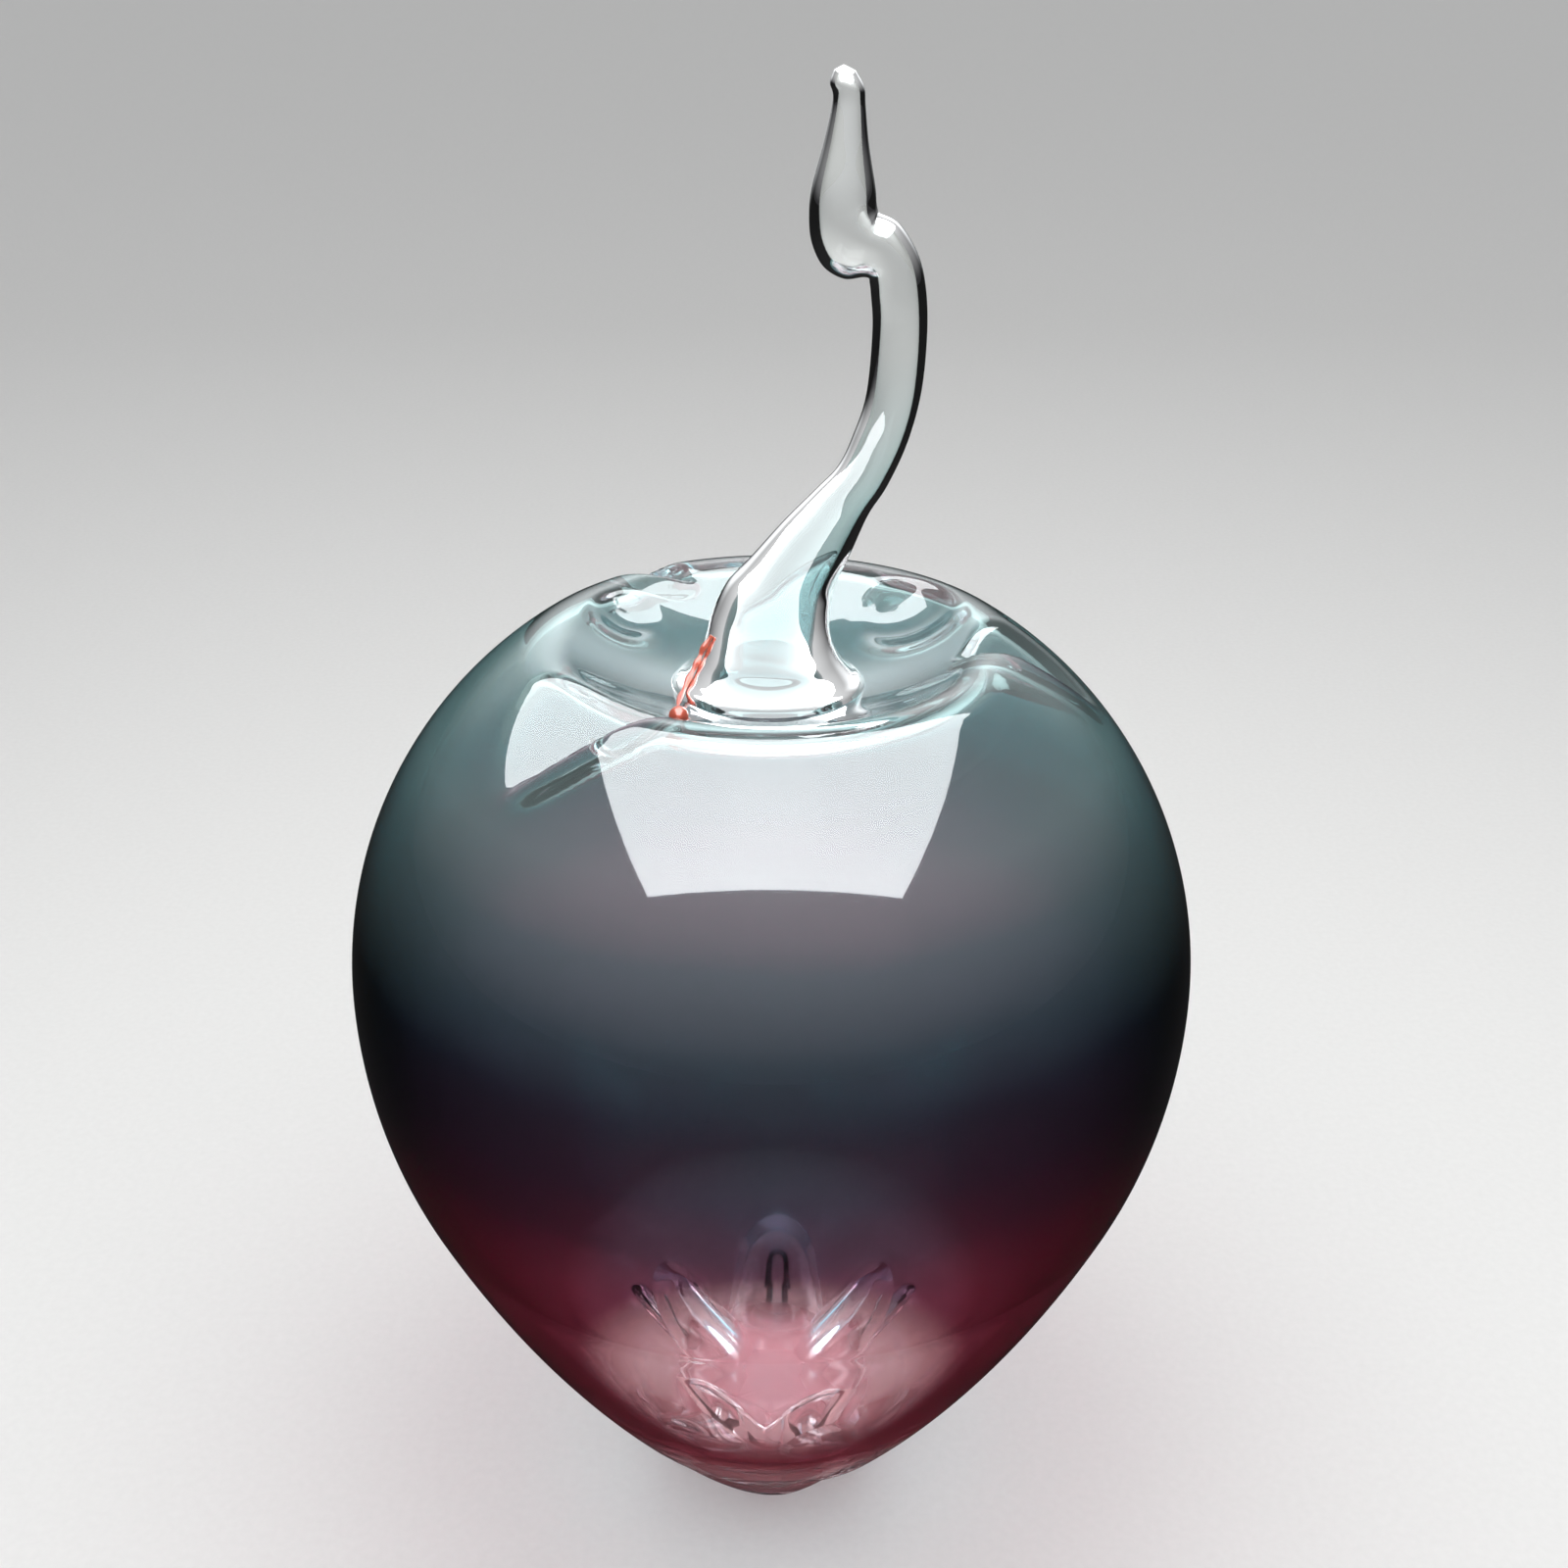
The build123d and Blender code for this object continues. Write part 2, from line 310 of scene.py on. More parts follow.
class Ball(NamedTuple):
    """A ball that presses a dent: its centre, the direction out of the wall, and its radius."""

    centre: np.ndarray
    off_wall: np.ndarray
    radius: float

    def distance(self, points, inset):
        """Distance of points from the ball grown by an inset, negative inside it."""
        return np.linalg.norm(points - self.centre, axis=1) - self.radius - inset


def wedge_along(tip, end, low_lean, high_lean, nose, side, blunt):
    """The wedge whose nose touches the line from a tip to an end. Its side is 1 where it presses down and
    -1 where it presses up."""
    along = (end - tip) / np.linalg.norm(end - tip)
    across = np.cross(along, (0.0, 0.0, 1.0))
    across /= np.linalg.norm(across)
    off_wall = side * np.cross(across, along)
    start = tip + nose * off_wall
    return Wedge(start, along, across, off_wall, radians(low_lean), radians(high_lean), nose, blunt)


def rim_presses():
    """The wedges that press the grooves over the rim."""
    wedges = []
    for rim_angle, tip_angle, reach, dip, low_lean, high_lean in rim_grooves:
        height = shoulder_centre[1] + sqrt(shoulder_radius**2 - (reach - shoulder_centre[0]) ** 2)
        tip = around(tip_angle, reach, height)
        end = around(rim_angle, rim_radius, body_height - dip)
        wedges.append(wedge_along(tip, end, low_lean, high_lean, rim_nose, 1, False))
    return wedges


def blossom_presses():
    """The wedges that press the grooves of the blossom end."""
    wedges = []
    inward = 1 - blossom_tip_dip / flank_radius
    height = flank_centre[1] - sqrt(flank_radius**2 - (blossom_reach - flank_centre[0]) ** 2)
    tip_reach = flank_centre[0] + inward * (blossom_reach - flank_centre[0])
    tip_height = flank_centre[1] + inward * (height - flank_centre[1])
    for angle in blossom_angles:
        tip = around(angle, tip_reach, tip_height)
        end = around(angle, foot_radius, blossom_dip)
        wedges.append(wedge_along(tip, end, blossom_lean, blossom_lean, blossom_nose, -1, True))
    return wedges


def dent_presses():
    """The balls that press the dents in the rim's inner slope."""
    balls = []
    for angle, reach, depth, radius in rim_dents:
        place = around(angle, reach, dimple_height(reach))
        off_wall = (np.array([0.0, 0.0, dimple_centre[1]]) - place) / dimple_radius
        balls.append(Ball(place + (radius - depth) * off_wall, off_wall, radius))
    return balls


presses = rim_presses() + blossom_presses() + dent_presses()


def smooth_max(first, second, softness):
    """The larger of two values, with a rounded change from one to the other."""
    near = np.maximum(softness - np.abs(first - second), 0) / softness
    return np.maximum(first, second) + near**2 * softness / 4


def pressed_depth(points, normals, insets):
    """How far the presses push each point of the plain wall in."""
    depth = np.zeros(len(points))
    for press in presses:
        near = press.distance(points, insets) < press_margin
        near &= normals @ press.off_wall > press_facing
        wall, out_of_wall, grown = points[near], normals[near], insets[near]
        pressed = np.zeros(len(wall))
        for _ in range(press_steps):
            off_press = press.distance(wall - pressed[:, None] * out_of_wall, grown)
            pressed += smooth_max(-pressed, -off_press, crease_softness)
        depth[near] = np.maximum(depth[near], pressed)
    return depth


def spun(rows):
    """Rows of distance from the axis and height, each turned round the axis into many points."""
    turns = np.linspace(0, 2 * pi, columns, endpoint=False)
    reach, height = rows[:, :1], rows[:, 1:]
    rings = np.stack([reach * np.sin(turns), -reach * np.cos(turns), height + 0 * turns], axis=-1)
    return rings.reshape(-1, 3)


def wall_surface(inset, extra=0.0):
    """Rings of points round the creased wall, one for each row of the outline, moved inward by an inset.
    The extra is added to it in the base, and the foot is ground flat at height 0."""
    sag = np.clip(1 - row_points[:, 1] / base_extra_height, 0, 1) ** 2
    insets = inset + extra * sag
    points = spun(row_points - insets[:, None] * row_normals)
    normals = spun(row_normals)
    depth = pressed_depth(points, normals, np.repeat(insets, columns))
    creased = points - depth[:, None] * normals
    creased[:, 2] = np.maximum(creased[:, 2], 0.0)
    return creased.reshape(-1, columns, 3)


def add_object(name, data):
    """A new object in the scene."""
    made = bpy.data.objects.new(name, data)
    bpy.context.scene.collection.objects.link(made)
    return made


def sharpen_between_bands(mesh):
    """Mark the edges between two materials as sharp, and all others as smooth."""
    edit = bmesh.new()
    edit.from_mesh(mesh)
    for edge in edit.edges:
        edge.smooth = len({face.material_index for face in edge.link_faces}) == 1
    edit.to_mesh(mesh)
    edit.free()


def add_piece(name, rings, bands, materials, closed=False):
    """A mesh through rings of points, each a loop or a single pole, with a material for each band between
    two of them. A closed piece also joins its last ring to its first."""
    starts = np.cumsum([0] + [len(ring) for ring in rings])
    faces = []
    face_bands = []
    pairs = [(index, index + 1) for index in range(len(rings) - 1)]
    if closed:
        pairs.append((len(rings) - 1, 0))
    for (first, second), band in zip(pairs, bands, strict=True):
        count = max(len(rings[first]), len(rings[second]))
        here = np.arange(count)
        after = (here + 1) % count
        near, far = starts[first], starts[second]
        if len(rings[first]) == 1:
            corners = (near + 0 * here, far + after, far + here)
        elif len(rings[second]) == 1:
            corners = (near + here, near + after, far + 0 * here)
        else:
            corners = (near + here, near + after, far + after, far + here)
        faces.extend(np.stack(corners, 1).tolist())
        face_bands.extend([band] * count)
    mesh = bpy.data.meshes.new(name)
    mesh.from_pydata((np.concatenate(rings) * MM).tolist(), [], faces)
    for material in materials:
        mesh.materials.append(material)
    mesh.polygons.foreach_set("material_index", face_bands)
    mesh.polygons.foreach_set("use_smooth", [True] * len(faces))
    mesh.update()
    sharpen_between_bands(mesh)
    return add_object(name, mesh)


def add_node(tree, kind, *ordered, **named):
    """A shader node with some inputs set, by order or by name, to values or to other nodes' outputs."""
    node = tree.nodes.new(kind)
    settings = list(zip(node.inputs, ordered))
    settings += [(node.inputs[name.replace("_", " ")], value) for name, value in named.items()]
    for socket, value in settings:
        if isinstance(value, bpy.types.NodeSocket):
            tree.links.new(value, socket)
        else:
            socket.default_value = value
    return node


def calculate(tree, operation, *values):
    """The result of a calculation on values or on other nodes' outputs."""
    node = add_node(tree, "ShaderNodeMath", *values)
    node.operation = operation
    return node.outputs[0]


def new_material(name):
    """A new material and its empty node tree."""
    material = bpy.data.materials.new(name)
    material.use_nodes = True
    material.node_tree.nodes.clear()
    return material, material.node_tree


# Colour of a surface that lets all light by
white = (1.0, 1.0, 1.0, 1.0)

# Glass: refraction, and how fine and how strong its waves, smears and streaks are. A streak is the height
# over which a tint wanders.
glass_index = 1.5
stem_index = 1.45
wave_scale = 55.0
wave_detail = 1.0
wave_strength = 0.02
smear_scale = 240.0
smear_detail = 1.0
smear_low = 0.4
smear_high = 0.8
smear_roughness = 0.02
streak_scale = (60.0, 60.0, 9.0)
streak_detail = 3.0
noise_middle = 0.5
body_streak = 3.0
stem_streak = 4.0
clear_streak = 2.0
red_streak = 6.0

# How much deeper a tint is where the glass is seen edge on, how narrow that edge is, and the power of the
# tint that the shadow takes
teal_edge_depth = 1.8
plum_edge_depth = 1.0
clear_edge_depth = 0.0
stem_edge_depth = 2.5
edge_power = 2.0
shadow_power = 0.25

# Tint of light that has crossed the wall twice, from the foot to the rim: height and colour
body_tint = [
    (0.0, (0.99, 0.80, 0.82)),
    (8.0, (0.985, 0.76, 0.79)),
    (16.0, (0.97, 0.68, 0.70)),
    (24.0, (0.92, 0.54, 0.57)),
    (28.0, (0.66, 0.22, 0.26)),
    (31.0, (0.36, 0.055, 0.085)),
    (38.0, (0.22, 0.034, 0.060)),
    (60.0, (0.20, 0.028, 0.056)),
    (75.0, (0.12, 0.020, 0.042)),
    (85.0, (0.028, 0.011, 0.023)),
    (93.0, (0.0085, 0.009, 0.018)),
    (101.0, (0.004, 0.012, 0.019)),
    (111.0, (0.004, 0.042, 0.058)),
    (120.0, (0.022, 0.13, 0.16)),
    (130.0, (0.24, 0.43, 0.45)),
    (body_height, (0.56, 0.76, 0.76)),
]

# Painted light: a paler patch in the tint low on the front, standing in for the light that brightens the
# pink floor inside: middle, reach in each direction, tint, and the share of the way in at which the tint is
# full
painted_light_place = (0.0, -50.0, 57.0)
painted_light_reach = (26.5, 40.0, 27.0)
painted_light_tint = (0.97, 0.54, 0.58)
painted_light_full_share = 0.5

# Tints of the other pieces: height and colour
clear_tint = [
    (0.0, (0.97, 0.975, 0.97)),
    (body_height, (0.97, 0.985, 0.98)),
]
stem_tint = [
    (dimple_floor, (0.14, 0.26, 0.27)),
    (140.0, (0.29, 0.41, 0.42)),
    (152.0, (0.50, 0.66, 0.66)),
    (172.0, (0.94, 0.97, 0.96)),
    (210.0, (0.97, 0.985, 0.98)),
]
red_tint = [
    (dimple_floor, (0.60, 0.085, 0.05)),
    (body_height, (0.68, 0.13, 0.075)),
]

# Milkiness of the teal overlay and of the pink floor inside: colour, and height and share of it
milk_roughness = 0.06
teal_milk_colour = (0.40, 0.53, 0.52)
teal_milk_shares = [
    (0.0, 0.0),
    (103.0, 0.0),
    (113.0, 0.08),
    (128.0, 0.19),
    (138.0, 0.05),
    (body_height, 0.05),
]
pink_milk_colour = (0.70, 0.40, 0.43)
pink_milk_shares = [(0.0, 0.85), (13.0, 0.85), (15.5, 0.0), (body_height, 0.0)]

# Red glass of the trail: its grain, its roughness and its clearness
red_grain_scale = 900.0
red_grain_detail = 3.0
red_grain_strength = 0.4
red_grain_height = 0.2
red_roughness = 0.18
red_clearness = 0.25


def height_colour(tree, stops, streak):
    """A colour from the height in the part's frame, by stops of height and colour, with faint streaks."""
    place = add_node(tree, "ShaderNodeTexCoord").outputs["Object"]
    stretched = add_node(tree, "ShaderNodeMapping", Vector=place, Scale=streak_scale).outputs[0]
    noise = add_node(tree, "ShaderNodeTexNoise", Vector=stretched, Scale=1.0, Detail=streak_detail)
    height = add_node(tree, "ShaderNodeSeparateXYZ", Vector=place).outputs["Z"]
    wobble = calculate(tree, "SUBTRACT", noise.outputs[0], noise_middle)
    shift = calculate(tree, "MULTIPLY", wobble, streak * MM)
    level = calculate(tree, "ADD", height, shift)
    low = stops[0][0]
    high = stops[-1][0]
    share = add_node(tree, "ShaderNodeMapRange", Value=level, From_Min=low * MM, From_Max=high * MM)
    ramp = add_node(tree, "ShaderNodeValToRGB", Fac=share.outputs[0])
    elements = ramp.color_ramp.elements
    while len(elements) < len(stops):
        elements.new(1.0)
    for element, (position, colour) in zip(elements, stops):
        element.position = (position - low) / (high - low)
        element.color = (*colour, 1.0)
    return ramp.outputs["Color"]


def body_colour(tree):
    """The tint of the body by height, with a paler patch painted low on the front that stands in for the
    light on the pink floor inside.
    """
    banded = height_colour(tree, body_tint, body_streak)
    place = add_node(tree, "ShaderNodeTexCoord").outputs["Object"]
    scale = [1 / (reach * MM) for reach in painted_light_reach]
    shift = [-middle / reach for middle, reach in zip(painted_light_place, painted_light_reach)]
    near = add_node(tree, "ShaderNodeMapping", Vector=place, Scale=scale, Location=shift)
    spot = add_node(tree, "ShaderNodeTexGradient", Vector=near.outputs[0])
    spot.gradient_type = "SPHERICAL"
    share = add_node(tree, "ShaderNodeMapRange", Value=spot.outputs["Fac"], From_Max=painted_light_full_share)
    share.interpolation_type = "SMOOTHSTEP"
    # Painted light: the paler tint of the patch on the front
    painted_light_colour = (*painted_light_tint, 1.0)
    return add_node(tree, "ShaderNodeMixRGB", Fac=share.outputs[0], Color1=banded, Color2=painted_light_colour).outputs[0]


def clear_colour(tree):
    """The faint tint of the clear bubble."""
    return height_colour(tree, clear_tint, clear_streak)


def stem_colour(tree):
    """The tint of the stem, which is deepest at its foot."""
    return height_colour(tree, stem_tint, stem_streak)


def deeper_at_edges(tree, colour, edge_depth):
    """A tint made deeper where the glass is seen edge on and light has a longer way through it."""
    facing = add_node(tree, "ShaderNodeLayerWeight").outputs["Facing"]
    grazing = calculate(tree, "POWER", facing, edge_power)
    way = calculate(tree, "MULTIPLY_ADD", grazing, edge_depth, 1.0)
    return add_node(tree, "ShaderNodeGamma", Color=colour, Gamma=way).outputs[0]


def rippled_normal(tree, place):
    """The direction of a blown surface with shallow waves in it."""
    wave = add_node(tree, "ShaderNodeTexNoise", Vector=place, Scale=wave_scale, Detail=wave_detail)
    bump = add_node(tree, "ShaderNodeBump", Height=wave.outputs[0], Strength=wave_strength, Distance=MM)
    return bump.outputs[0]


def smeared_roughness(tree, place):
    """The roughness of a glossy surface with faint smears on it."""
    smear = add_node(tree, "ShaderNodeTexNoise", Vector=place, Scale=smear_scale, Detail=smear_detail)
    rough = add_node(
        tree,
        "ShaderNodeMapRange",
        Value=smear.outputs[0],
        From_Min=smear_low,
        From_Max=smear_high,
        To_Max=smear_roughness,
    )
    return rough.outputs[0]


def with_milk(tree, surface, colour, shares, normal):
    """A surface with a share of milky glass in it by height."""
    stops = [(height, (share, share, share)) for height, share in shares]
    milk = add_node(
        tree,
        "ShaderNodeBsdfPrincipled",
        Base_Color=(*colour, 1.0),
        Roughness=milk_roughness,
        IOR=glass_index,
        Normal=normal,
    )
    share = height_colour(tree, stops, body_streak)
    return add_node(tree, "ShaderNodeMixShader", share, surface, milk.outputs[0]).outputs[0]


def glass_material(name, colour_of, edge_depth, milk=None, index=glass_index):
    """Blown glass: a tinted, slightly rippled transmissive surface whose shadow takes some of the tint."""
    material, tree = new_material(name)
    tint = colour_of(tree)
    place = add_node(tree, "ShaderNodeTexCoord").outputs["Object"]
    normal = rippled_normal(tree, place)
    glass = add_node(
        tree,
        "ShaderNodeBsdfPrincipled",
        Base_Color=deeper_at_edges(tree, tint, edge_depth),
        Roughness=smeared_roughness(tree, place),
        IOR=index,
        Transmission_Weight=1.0,
        Normal=normal,
    )
    surface = glass.outputs[0]
    if milk:
        surface = with_milk(tree, surface, *milk, normal)
    thinned = add_node(tree, "ShaderNodeGamma", Color=tint, Gamma=shadow_power).outputs[0]
    shadow = add_node(tree, "ShaderNodeBsdfTransparent", Color=thinned).outputs[0]
    shadow_ray = add_node(tree, "ShaderNodeLightPath").outputs["Is Shadow Ray"]
    mixed = add_node(tree, "ShaderNodeMixShader", shadow_ray, surface, shadow)
    add_node(tree, "ShaderNodeOutputMaterial", Surface=mixed.outputs[0])
    return material


def seam_material():
    """Where two bits of glass are melted together, so that nothing shows between them."""
    material, tree = new_material("fused_seam")
    clear = add_node(tree, "ShaderNodeBsdfTransparent", Color=white)
    add_node(tree, "ShaderNodeOutputMaterial", Surface=clear.outputs[0])
    return material


def red_material():
    """Orange-red glass, dense enough to look solid."""
    material, tree = new_material("red_glass")
    place = add_node(tree, "ShaderNodeTexCoord").outputs["Object"]
    grain = add_node(
        tree, "ShaderNodeTexNoise", Vector=place, Scale=red_grain_scale, Detail=red_grain_detail
    )
    bump = add_node(
        tree,
        "ShaderNodeBump",
        Height=grain.outputs[0],
        Strength=red_grain_strength,
        Distance=red_grain_height * MM,
    )
    shader = add_node(
        tree,
        "ShaderNodeBsdfPrincipled",
        Base_Color=height_colour(tree, red_tint, red_streak),
        Roughness=red_roughness,
        Transmission_Weight=red_clearness,
        Normal=bump.outputs[0],
    )
    add_node(tree, "ShaderNodeOutputMaterial", Surface=shader.outputs[0])
    return material


teal_milk = (teal_milk_colour, teal_milk_shares)
pink_milk = (pink_milk_colour, pink_milk_shares)
teal_glass = glass_material("teal_glass", body_colour, teal_edge_depth, teal_milk)
plum_glass = glass_material("plum_glass", body_colour, plum_edge_depth)
clear_glass = glass_material("clear_glass", clear_colour, clear_edge_depth, pink_milk)
stem_glass = glass_material("stem_glass", stem_colour, stem_edge_depth, index=stem_index)
red_glass = red_material()
seam = seam_material()

# Places of the glass and of the seam among a piece's materials
GLASS = 0
SEAM = 1

# Faces of the wall's layers, from the outside in
outer = wall_surface(0.0)
under_teal = wall_surface(overlay_thickness - seam_gap)
over_lap = wall_surface(overlay_thickness + seam_gap)
under_plum = wall_surface(2 * overlay_thickness - seam_gap)
over_core = wall_surface(2 * overlay_thickness + seam_gap)
inner = wall_surface(wall_thickness, base_extra)


def on_axis(ring):
    """Whether a ring has shrunk to a point on the axis."""
    return np.hypot(ring[:, 0], ring[:, 1]).max() < seam_gap


def run(surface, first, last):
    """The rings of a surface from one row to another, in either direction, with a pole on the axis."""
    step = 1 if last > first else -1
    rings = [surface[row] for row in range(first, last + step, step)]
    return [ring[:1] if on_axis(ring) else ring for ring in rings]


def wall_piece(name, runs, materials, closed=False):
    """A layer of the wall from runs of rings between marked rows, each with the material of its bands."""
    rings = []
    bands = []
    for surface, first, last, band in runs:
        part = run(surface, marks[first], marks[last])
        if rings:
            bands.append(SEAM)
        rings.extend(part)
        bands.extend([band] * (len(part) - 1))
    if closed:
        bands.append(SEAM)
    return add_piece(name, rings, bands, materials, closed)


teal = wall_piece(
    "teal_overlay_glass",
    [
        (outer, "lap_low", "stem_foot", GLASS),
        (outer, "stem_foot", "neck", SEAM),
        (under_teal, "neck", "lap_low", SEAM),
    ],
    [teal_glass, seam],
    closed=True,
)
plum = wall_piece(
    "plum_overlay_glass",
    [
        (outer, "middle", "lap_low", GLASS),
        (over_lap, "lap_low", "lap_high", SEAM),
        (under_plum, "lap_high", "middle", SEAM),
    ],
    [plum_glass, seam],
)
clear = wall_piece(
    "clear_bubble_glass",
    [
        (over_core, "middle", "lap_high", SEAM),
        (over_lap, "lap_high", "neck", SEAM),
        (inner, "neck", "middle", GLASS),
    ],
    [clear_glass, seam],
)


def smooth_rows(rows, substeps):
    """Rows of numbers with a smooth Catmull-Rom curve through them, each row kept."""
    rows = np.array(rows, float)
    padded = np.vstack([2 * rows[0] - rows[1], rows, 2 * rows[-1] - rows[-2]])
    made = []
    for index in range(1, len(padded) - 2):
        before, start, end, after = padded[index - 1 : index + 3]
        slope = end - before
        bend = 2 * before - 5 * start + 4 * end - after
        twist = 3 * start - before - 3 * end + after
        for share in np.arange(substeps) / substeps:
            made.append(0.5 * (2 * start + slope * share + bend * share**2 + twist * share**3))
    made.append(rows[-1])
    return np.array(made)


stem_turns = np.linspace(0, 2 * pi, stem_sides, endpoint=False)


def stem_ring(row):
    """A ring of the stem from a row of its edges, reaches and lean. It stays on top of the dimple."""
    left_x, left_z, right_x, right_z, front, back, lean = row
    across = np.cos(stem_turns)
    forward = np.sin(stem_turns)
    ring = np.empty((stem_sides, 3))
    ring[:, 0] = (left_x + right_x) / 2 + across * (right_x - left_x) / 2
    ring[:, 1] = lean - forward * np.where(forward > 0, front, back)
    ring[:, 2] = (left_z + right_z) / 2 + across * (right_z - left_z) / 2
    reach = np.minimum(np.hypot(ring[:, 0], ring[:, 1]), rim_radius)
    ring[:, 2] = np.maximum(ring[:, 2], dimple_height(reach) + seam_gap)
    return ring


def axis_ring(reach, height):
    """A ring of the stem round the part's axis."""
    ring = np.empty((stem_sides, 3))
    ring[:, 0] = reach * np.cos(stem_turns)
    ring[:, 1] = -reach * np.sin(stem_turns)
    ring[:, 2] = height
    return ring


def stem_piece():
    """The stem: a plug in the neck, a foot fused to the dimple, and a drawn rod with a curl and a bead."""
    plug_radius = neck_radius - seam_gap
    plug_height = float(inner[marks["neck"], 0, 2])
    plug = [np.array([[0.0, 0.0, plug_height]]), axis_ring(plug_radius, plug_height)]
    foot_reaches = np.linspace(plug_radius, stem_foot_radius, stem_foot_steps + 1)[:-1]
    foot = [axis_ring(reach, dimple_height(reach) + seam_gap) for reach in foot_reaches]
    rod = [stem_ring(row) for row in smooth_rows(stem_rows, stem_substeps)]
    tip = [np.array([stem_tip])]
    bands = [GLASS] + [SEAM] * (len(foot) + 1) + [GLASS] * len(rod)
    return add_piece("stem_glass", plug + foot + rod + tip, bands, [stem_glass, seam])


def tube(name, points, radii, sides, material):
    """A round tube with closed ends along points, with a radius at each."""
    turns = np.linspace(0, 2 * pi, sides, endpoint=False)
    rings = [points[:1]]
    for index, point in enumerate(points):
        ahead = points[min(index + 1, len(points) - 1)] - points[max(index - 1, 0)]
        facing = Vector(ahead).to_track_quat("Z", "Y").to_matrix()
        across, deep = np.array(facing.col[0]), np.array(facing.col[1])
        ring = np.cos(turns)[:, None] * across + np.sin(turns)[:, None] * deep
        rings.append(point + radii[index] * ring)
    rings.append(points[-1:])
    return add_piece(name, rings, [GLASS] * (len(rings) - 1), [material])


def trail_piece():
    """The red trail: an uneven thread on the dimple and the stem's foot, with a lumpy knot at its start."""
    points = smooth_rows([around(*place) for place in trail_route], trail_substeps)
    share = np.linspace(0, 1, len(points))
    radii = trail_radius * (1 + trail_wave * np.sin(share * trail_wave_radians))
    for middle, width, size in trail_lumps:
        radii += trail_knot_radius * size * np.exp(-(((share - middle) / width) ** 2))
    radii[0] *= trail_start_share
    points[:, 2] += trail_lift * radii
    return tube("red_trail_glass", points, radii, trail_sides, red_glass)


stem = stem_piece()
trail = trail_piece()

for piece, node, slot in [
    (teal, "teal_overlay", "teal_glass"),
    (plum, "plum_overlay", "plum_glass"),
    (clear, "clear_bubble", "clear_glass"),
    (stem, "stem", "stem_glass"),
    (trail, "red_trail", "red_glass"),
]:
    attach(piece, "root")
    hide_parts(node)

# Pale matt floor, with the dark colour that its mirror image in the glass has
floor_size = 12000.0
floor_grain_scale = 700.0
floor_grain_detail = 4.0
floor_dark_grain = (0.66, 0.655, 0.645, 1.0)
floor_pale_grain = (0.72, 0.715, 0.705, 1.0)
floor_roughness = 0.7
floor_mirror_colour = (0.015, 0.015, 0.015, 1.0)

# Overhead panel: its mirror image is the white patch on the shoulder. It has a strength in mirror images,
# one through glass, and one for light that has crossed the glass often, which makes the glints in the base.
panel_width = 650.0
panel_depth = 600.0
panel_place = (15.0, -70.0, 500.0)
panel_colour = (0.95, 0.98, 1.0, 1.0)
panel_mirror_strength = 16.0
panel_through_strength = 1.6
panel_inside_strength = 12.0
panel_back_share = 0.7
inside_crossings = 3.5

# Soft glow behind: its mirror image lights up the dimple
glow_width = 2200.0
glow_height = 1000.0
glow_place = (0.0, 750.0, 500.0)
glow_mirror_strength = 3.4
glow_through_strength = 1.4

# Lamp at the panel's place that lights the floor and the milky glass
key_watts = 2.2

# Sky: its colour level with the eye and straight up, and the least that shows behind the object
sky_low_colour = (0.03, 0.03, 0.032, 1.0)
sky_high_colour = (0.95, 0.96, 0.97, 1.0)
pale_behind = (0.42, 0.42, 0.41, 1.0)


def add_plane(name, centre, width, depth, material):
    """A flat rectangle from its centre and the directions and lengths of two of its sides."""
    corners = [(-0.5, -0.5), (0.5, -0.5), (0.5, 0.5), (-0.5, 0.5)]
    mesh = bpy.data.meshes.new(name)
    points = []
    for across, along in corners:
        points.append((Vector(centre) + across * Vector(width) + along * Vector(depth)) * MM)
    mesh.from_pydata(points, [], [(0, 1, 2, 3)])
    mesh.materials.append(material)
    plane = add_object(name, mesh)
    return plane


def floor_material():
    """Pale matt floor with a fine grain. Its mirror image is dark, so that the glass keeps its depth."""
    material, tree = new_material("pale_floor")
    place = add_node(tree, "ShaderNodeTexCoord").outputs["Object"]
    grain = add_node(
        tree, "ShaderNodeTexNoise", Vector=place, Scale=floor_grain_scale, Detail=floor_grain_detail
    )
    colour = add_node(
        tree, "ShaderNodeMixRGB", Fac=grain.outputs[0], Color1=floor_dark_grain, Color2=floor_pale_grain
    )
    matt = add_node(
        tree, "ShaderNodeBsdfPrincipled", Base_Color=colour.outputs[0], Roughness=floor_roughness
    )
    dim = add_node(tree, "ShaderNodeBsdfDiffuse", Color=floor_mirror_colour)
    mirrored = add_node(tree, "ShaderNodeLightPath").outputs["Is Reflection Ray"]
    mixed = add_node(tree, "ShaderNodeMixShader", mirrored, matt.outputs[0], dim.outputs[0])
    add_node(tree, "ShaderNodeOutputMaterial", Surface=mixed.outputs[0])
    return material


def panel_strength(tree, mirror_strength, through_strength, inside_strength):
    """How strongly a panel glows in mirror images, through glass, and after many crossings of the glass."""
    path = add_node(tree, "ShaderNodeLightPath").outputs
    mirror = calculate(tree, "MULTIPLY", path["Is Reflection Ray"], mirror_strength)
    inside = calculate(tree, "GREATER_THAN", path["Transmission Depth"], inside_crossings)
    strength = add_node(
        tree, "ShaderNodeMapRange", Value=inside, To_Min=through_strength, To_Max=inside_strength
    )
    through = calculate(tree, "MULTIPLY", path["Is Transmission Ray"], strength.outputs[0])
    return calculate(tree, "ADD", mirror, through)


def dimmer_at_back(tree):
    """Share of a level panel's light, which falls off towards its back edge."""
    place = add_node(tree, "ShaderNodeTexCoord").outputs["Generated"]
    backward = add_node(tree, "ShaderNodeSeparateXYZ", Vector=place).outputs["Y"]
    fade = add_node(tree, "ShaderNodeMapRange", Value=backward, To_Min=1.0, To_Max=panel_back_share)
    return fade.outputs[0]


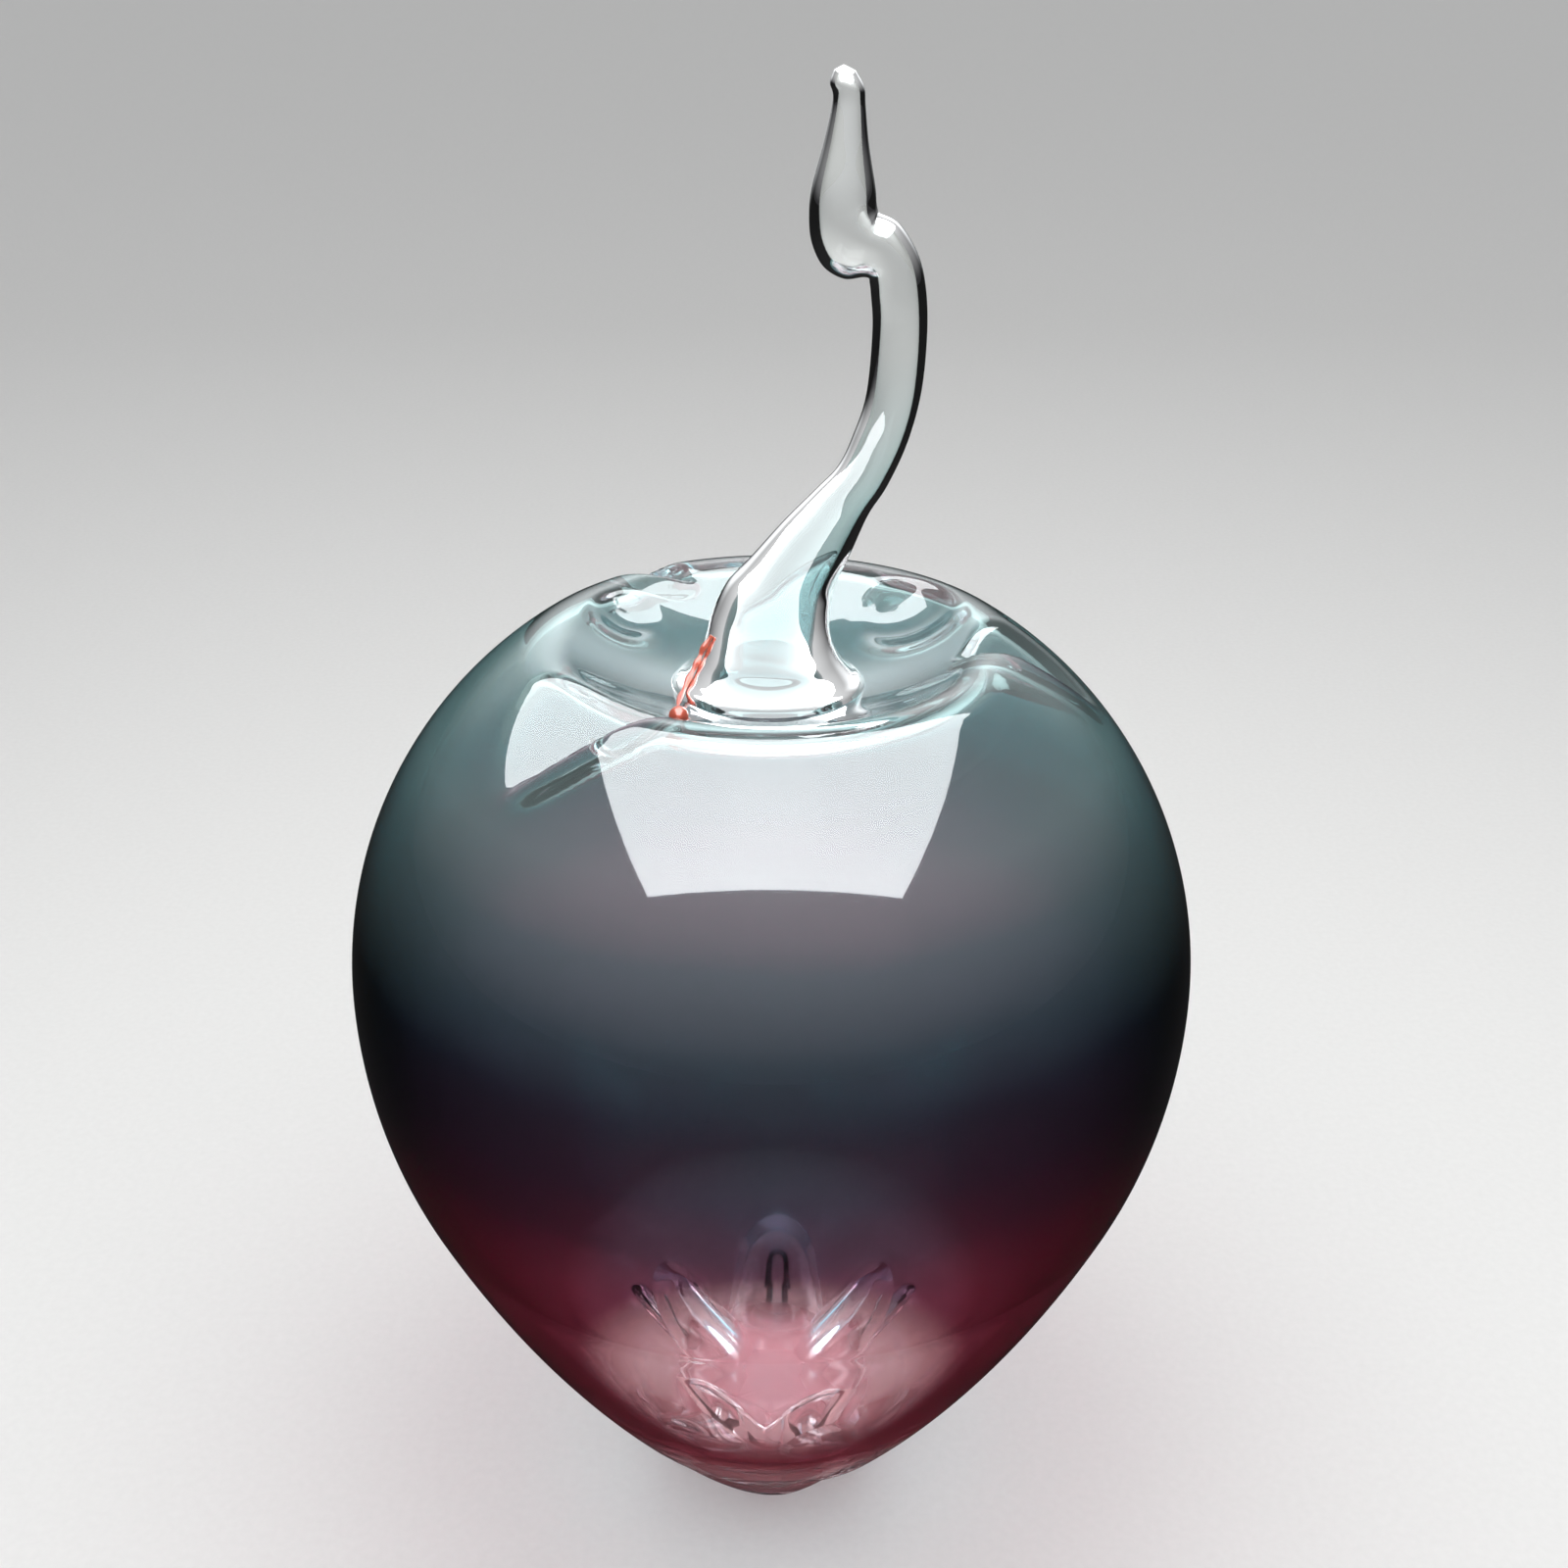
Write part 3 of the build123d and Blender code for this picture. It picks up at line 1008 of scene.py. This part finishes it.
def dimmer_at_edges(tree):
    """Share of an upright panel's light, which falls off to nothing at its edges."""
    place = add_node(tree, "ShaderNodeTexCoord").outputs["Generated"]
    doubled = (2.0, 0.0, 2.0)
    to_middle = (-1.0, 0.0, -1.0)
    centred = add_node(tree, "ShaderNodeMapping", Vector=place, Scale=doubled, Location=to_middle)
    fade = add_node(tree, "ShaderNodeTexGradient", Vector=centred.outputs[0])
    fade.gradient_type = "QUADRATIC_SPHERE"
    return fade.outputs["Fac"]


def softbox_material(name, share_of, *strengths):
    """A glowing panel that adds its light in mirror images and through glass, and hides nothing."""
    material, tree = new_material(name)
    level = calculate(tree, "MULTIPLY", panel_strength(tree, *strengths), share_of(tree))
    light = add_node(tree, "ShaderNodeEmission", Color=panel_colour, Strength=level)
    beyond = add_node(tree, "ShaderNodeBsdfTransparent", Color=white)
    added = add_node(tree, "ShaderNodeAddShader", light.outputs[0], beyond.outputs[0])
    add_node(tree, "ShaderNodeOutputMaterial", Surface=added.outputs[0])
    material.cycles.emission_sampling = "NONE"
    return material


def add_softbox(name, centre, width, depth, share_of, *strengths):
    """A glowing panel that casts neither light nor shadow on the floor."""
    box = add_plane(name, centre, width, depth, softbox_material(name, share_of, *strengths))
    box.visible_camera = False
    box.visible_diffuse = False
    box.visible_shadow = False


def add_key_lamp():
    """A soft lamp over the object that shows neither in mirror images nor through glass."""
    key = bpy.data.lights.new("key", "AREA")
    key.shape = "RECTANGLE"
    key.size = panel_width * MM
    key.size_y = panel_depth * MM
    key.energy = key_watts
    lamp = add_object("key", key)
    lamp.location = Vector(panel_place) * MM
    lamp.visible_glossy = False
    lamp.visible_transmission = False


def add_sky():
    """A sky that is dark low down and light above. Looked at directly or through glass, it is never darker
    than the pale behind the object."""
    world = bpy.data.worlds.new("studio")
    world.use_nodes = True
    tree = world.node_tree
    direction = add_node(tree, "ShaderNodeTexCoord").outputs["Generated"]
    upward = add_node(tree, "ShaderNodeSeparateXYZ", Vector=direction).outputs["Z"]
    fade = add_node(tree, "ShaderNodeValToRGB", Fac=upward)
    fade.color_ramp.elements[0].color = sky_low_colour
    fade.color_ramp.elements[1].color = sky_high_colour
    path = add_node(tree, "ShaderNodeLightPath").outputs
    seen = calculate(tree, "MAXIMUM", path["Is Camera Ray"], path["Is Transmission Ray"])
    behind = add_node(tree, "ShaderNodeMixRGB", Fac=seen, Color1=fade.outputs[0], Color2=pale_behind)
    behind.blend_type = "LIGHTEN"
    tree.links.new(behind.outputs[0], tree.nodes["Background"].inputs["Color"])
    bpy.context.scene.world = world


def add_camera():
    """The camera that was fitted to the outline."""
    lens = bpy.data.cameras.new("camera")
    lens.sensor_width = sensor_width
    lens.lens = focal_pixels / image_pixels * sensor_width
    camera = add_object("camera", lens)
    camera.location = Vector(camera_place) * MM
    camera.rotation_euler = (radians(90 - camera_pitch), 0.0, 0.0)
    bpy.context.scene.camera = camera


add_plane(
    "floor",
    (0.0, 0.0, -seam_gap),
    (floor_size, 0.0, 0.0),
    (0.0, floor_size, 0.0),
    floor_material(),
)
add_softbox(
    "softbox",
    panel_place,
    (panel_width, 0.0, 0.0),
    (0.0, panel_depth, 0.0),
    dimmer_at_back,
    panel_mirror_strength,
    panel_through_strength,
    panel_inside_strength,
)
add_softbox(
    "back_glow",
    glow_place,
    (glow_width, 0.0, 0.0),
    (0.0, 0.0, glow_height),
    dimmer_at_edges,
    glow_mirror_strength,
    glow_through_strength,
    glow_through_strength,
)
add_key_lamp()
add_sky()
add_camera()

# Light crosses many faces of glass on its way
scene = bpy.context.scene
scene.view_settings.view_transform = "Standard"
scene.cycles.max_bounces = 32
scene.cycles.glossy_bounces = 16
scene.cycles.transmission_bounces = 24
scene.cycles.transparent_max_bounces = 64
